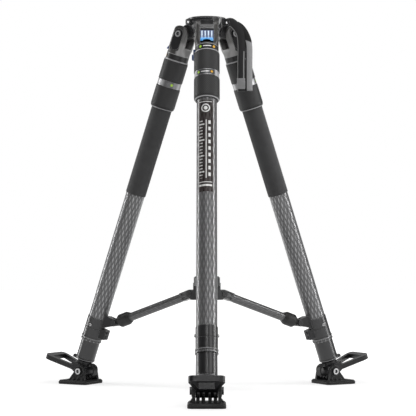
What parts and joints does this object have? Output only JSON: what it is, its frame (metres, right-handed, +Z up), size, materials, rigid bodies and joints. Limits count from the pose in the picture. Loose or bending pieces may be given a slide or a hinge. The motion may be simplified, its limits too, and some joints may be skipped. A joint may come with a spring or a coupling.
{
  "type": "video tripod",
  "caption": "Video tripod with a half-ball bowl, three-section tube legs with twist locks, a mid-level spreader with a lifting handle, and swivel rubber feet with step-on pedals.",
  "frame": {"origin": "centre of the bowl mouth, in the plane of the rim", "axes": "+Z up along the bowl axis; the front leg points towards -Y, the other two 120 degrees to each side; the object stands on z = -0.8164 m"},
  "size_m": [0.7448, 0.6477, 0.8164],
  "materials": {
    "angle_tab": "blue plastic",
    "arm_knob": "black rubber over metal",
    "arm_rod": "black enamel",
    "arm_tube": "black enamel tube",
    "bowl_hub": "satin black enamel on a magnesium casting",
    "carry_strap": "dark grey woven webbing",
    "foot_bolts": "plated socket heads",
    "foot_fitting": "black satin enamel",
    "foot_pad": "moulded black rubber",
    "foot_strap": "black rubber",
    "grip_sleeve": "black foam rubber",
    "indicator_ring": "bright silver band with coloured dots",
    "inner_tube": "clear-coated carbon weave",
    "leg_casting": "warm grey satin enamel",
    "leg_collar": "black enamel",
    "level_button": "dark blue plastic",
    "lower_grip": "dark grey fine-ribbed rubber",
    "middle_tube": "clear-coated carbon weave with a metal end collar",
    "outer_tube": "clear-coated carbon weave",
    "pivot_bolt": "turned steel cap",
    "spreader_hub": "black moulded plastic",
    "strap_keeper": "grey plastic",
    "upper_grip": "dark grey fine-ribbed rubber"
  },
  "bodies": {
    "bowl": {"bowl_hub": "bowl_hub", "carry_strap": "carry_strap", "strap_keeper": "strap_keeper"},
    "leg_front": {"leg_casting_front": "leg_casting", "pivot_bolt_front": "pivot_bolt", "indicator_ring_front": "indicator_ring", "outer_tube_front": "outer_tube", "leg_collar_front": "leg_collar", "level_button_front": "level_button"},
    "stop_front": {"angle_tab_front": "angle_tab"},
    "upper_lock_front": {"upper_grip_front": "upper_grip"},
    "lower_lock_front": {"lower_grip_front": "lower_grip"},
    "middle_front": {"middle_tube_front": "middle_tube"},
    "inner_front": {"inner_tube_front": "inner_tube", "foot_fitting_front": "foot_fitting", "foot_bolts_front": "foot_bolts", "foot_strap_front": "foot_strap"},
    "foot_front": {"foot_pad_front": "foot_pad"},
    "arm_front": {"arm_tube_front": "arm_tube", "arm_rod_front": "arm_rod"},
    "knob_front": {"arm_knob_front": "arm_knob"},
    "leg_right": {"leg_casting_right": "leg_casting", "pivot_bolt_right": "pivot_bolt", "indicator_ring_right": "indicator_ring", "outer_tube_right": "outer_tube", "leg_collar_right": "leg_collar", "grip_sleeve_right": "grip_sleeve"},
    "stop_right": {"angle_tab_right": "angle_tab"},
    "upper_lock_right": {"upper_grip_right": "upper_grip"},
    "lower_lock_right": {"lower_grip_right": "lower_grip"},
    "middle_right": {"middle_tube_right": "middle_tube"},
    "inner_right": {"inner_tube_right": "inner_tube", "foot_fitting_right": "foot_fitting", "foot_bolts_right": "foot_bolts", "foot_strap_right": "foot_strap"},
    "foot_right": {"foot_pad_right": "foot_pad"},
    "arm_right": {"arm_tube_right": "arm_tube", "arm_rod_right": "arm_rod"},
    "knob_right": {"arm_knob_right": "arm_knob"},
    "leg_left": {"leg_casting_left": "leg_casting", "pivot_bolt_left": "pivot_bolt", "indicator_ring_left": "indicator_ring", "outer_tube_left": "outer_tube", "leg_collar_left": "leg_collar", "grip_sleeve_left": "grip_sleeve"},
    "stop_left": {"angle_tab_left": "angle_tab"},
    "upper_lock_left": {"upper_grip_left": "upper_grip"},
    "lower_lock_left": {"lower_grip_left": "lower_grip"},
    "middle_left": {"middle_tube_left": "middle_tube"},
    "inner_left": {"inner_tube_left": "inner_tube", "foot_fitting_left": "foot_fitting", "foot_bolts_left": "foot_bolts", "foot_strap_left": "foot_strap"},
    "foot_left": {"foot_pad_left": "foot_pad"},
    "arm_left": {"arm_tube_left": "arm_tube", "arm_rod_left": "arm_rod"},
    "knob_left": {"arm_knob_left": "arm_knob"},
    "spreader": {"spreader_hub": "spreader_hub"}
  },
  "joints": [
    {"name": "splay_front", "type": "hinge", "parent": "bowl", "child": "leg_front", "pos_m": [0, -0.058, -0.0324], "axis": [1, 0, 0], "range_deg": [0, 16]},
    {"name": "angle_stop_front", "type": "hinge", "parent": "leg_front", "child": "stop_front", "pos_m": [0, -0.07579, -0.03976], "axis": [-1, 0, 0], "range_deg": [0, 18], "stiffness_Nm_per_rad": 0.25, "springref_deg": -11.46},
    {"name": "upper_lock_turn_front", "type": "hinge", "parent": "leg_front", "child": "upper_lock_front", "pos_m": [0, -0.08639, -0.11039], "axis": [0, 0.342, 0.9397], "range_deg": [0, 70]},
    {"name": "lower_lock_turn_front", "type": "hinge", "parent": "leg_front", "child": "lower_lock_front", "pos_m": [0, -0.10691, -0.16678], "axis": [0, 0.342, 0.9397], "range_deg": [0, 70]},
    {"name": "extend_middle_front", "type": "slide", "parent": "leg_front", "child": "middle_front", "axis": [0, -0.342, -0.9397], "range_m": [0, 0.4]},
    {"name": "extend_inner_front", "type": "slide", "parent": "middle_front", "child": "inner_front", "axis": [0, -0.342, -0.9397], "range_m": [0, 0.4]},
    {"name": "foot_tilt_front", "type": "hinge", "parent": "inner_front", "child": "foot_front", "pos_m": [0, -0.32066, -0.78622], "axis": [1, 0, 0], "range_deg": [-18, 18]},
    {"name": "arm_swing_front", "type": "hinge", "parent": "leg_front", "child": "arm_front", "pos_m": [0, -0.23927, -0.67517], "axis": [1, 0, 0], "range_deg": [0, 50.5]},
    {"name": "knob_turn_front", "type": "hinge", "parent": "arm_front", "child": "knob_front", "pos_m": [0, -0.23927, -0.67517], "axis": [0, 0.9455, 0.3256], "range_deg": [0, 90]},
    {"name": "splay_right", "type": "hinge", "parent": "bowl", "child": "leg_right", "pos_m": [0.05023, 0.029, -0.0324], "axis": [-0.5, 0.866, 0], "range_deg": [0, 16]},
    {"name": "angle_stop_right", "type": "hinge", "parent": "leg_right", "child": "stop_right", "pos_m": [0.06564, 0.03789, -0.03976], "axis": [0.5, -0.866, 0], "range_deg": [0, 18], "stiffness_Nm_per_rad": 0.25, "springref_deg": -11.46},
    {"name": "upper_lock_turn_right", "type": "hinge", "parent": "leg_right", "child": "upper_lock_right", "pos_m": [0.07481, 0.04319, -0.11039], "axis": [-0.2962, -0.171, 0.9397], "range_deg": [0, 70]},
    {"name": "lower_lock_turn_right", "type": "hinge", "parent": "leg_right", "child": "lower_lock_right", "pos_m": [0.09259, 0.05345, -0.16678], "axis": [-0.2962, -0.171, 0.9397], "range_deg": [0, 70]},
    {"name": "extend_middle_right", "type": "slide", "parent": "leg_right", "child": "middle_right", "axis": [0.2962, 0.171, -0.9397], "range_m": [0, 0.4]},
    {"name": "extend_inner_right", "type": "slide", "parent": "middle_right", "child": "inner_right", "axis": [0.2962, 0.171, -0.9397], "range_m": [0, 0.4]},
    {"name": "foot_tilt_right", "type": "hinge", "parent": "inner_right", "child": "foot_right", "pos_m": [0.2777, 0.16033, -0.78622], "axis": [-0.5, 0.866, 0], "range_deg": [-18, 18]},
    {"name": "arm_swing_right", "type": "hinge", "parent": "leg_right", "child": "arm_right", "pos_m": [0.20721, 0.11964, -0.67517], "axis": [-0.5, 0.866, 0], "range_deg": [0, 50.5]},
    {"name": "knob_turn_right", "type": "hinge", "parent": "arm_right", "child": "knob_right", "pos_m": [0.20721, 0.11964, -0.67517], "axis": [-0.8188, -0.4728, 0.3256], "range_deg": [0, 90]},
    {"name": "splay_left", "type": "hinge", "parent": "bowl", "child": "leg_left", "pos_m": [-0.05023, 0.029, -0.0324], "axis": [-0.5, -0.866, 0], "range_deg": [0, 16]},
    {"name": "angle_stop_left", "type": "hinge", "parent": "leg_left", "child": "stop_left", "pos_m": [-0.06564, 0.03789, -0.03976], "axis": [0.5, 0.866, 0], "range_deg": [0, 18], "stiffness_Nm_per_rad": 0.25, "springref_deg": -11.46},
    {"name": "upper_lock_turn_left", "type": "hinge", "parent": "leg_left", "child": "upper_lock_left", "pos_m": [-0.07481, 0.04319, -0.11039], "axis": [0.2962, -0.171, 0.9397], "range_deg": [0, 70]},
    {"name": "lower_lock_turn_left", "type": "hinge", "parent": "leg_left", "child": "lower_lock_left", "pos_m": [-0.09259, 0.05345, -0.16678], "axis": [0.2962, -0.171, 0.9397], "range_deg": [0, 70]},
    {"name": "extend_middle_left", "type": "slide", "parent": "leg_left", "child": "middle_left", "axis": [-0.2962, 0.171, -0.9397], "range_m": [0, 0.4]},
    {"name": "extend_inner_left", "type": "slide", "parent": "middle_left", "child": "inner_left", "axis": [-0.2962, 0.171, -0.9397], "range_m": [0, 0.4]},
    {"name": "foot_tilt_left", "type": "hinge", "parent": "inner_left", "child": "foot_left", "pos_m": [-0.2777, 0.16033, -0.78622], "axis": [-0.5, -0.866, 0], "range_deg": [-18, 18]},
    {"name": "arm_swing_left", "type": "hinge", "parent": "leg_left", "child": "arm_left", "pos_m": [-0.20721, 0.11964, -0.67517], "axis": [-0.5, -0.866, 0], "range_deg": [0, 50.5]},
    {"name": "knob_turn_left", "type": "hinge", "parent": "arm_left", "child": "knob_left", "pos_m": [-0.20721, 0.11964, -0.67517], "axis": [0.8188, -0.4728, 0.3256], "range_deg": [0, 90]},
    {"name": "spreader_lift", "type": "slide", "parent": "bowl", "child": "spreader", "axis": [0, 0, 1], "range_m": [0, 0.11831]}
  ],
  "couplings": [
    {"joint": "arm_swing_front", "follows": "splay_front", "ratio": 3.1499},
    {"joint": "splay_right", "follows": "splay_front", "ratio": 1},
    {"joint": "arm_swing_right", "follows": "splay_front", "ratio": 3.1499},
    {"joint": "splay_left", "follows": "splay_front", "ratio": 1},
    {"joint": "arm_swing_left", "follows": "splay_front", "ratio": 3.1499},
    {"joint": "spreader_lift", "follows": "splay_front", "m_per_rad": 0.42189}
  ]
}
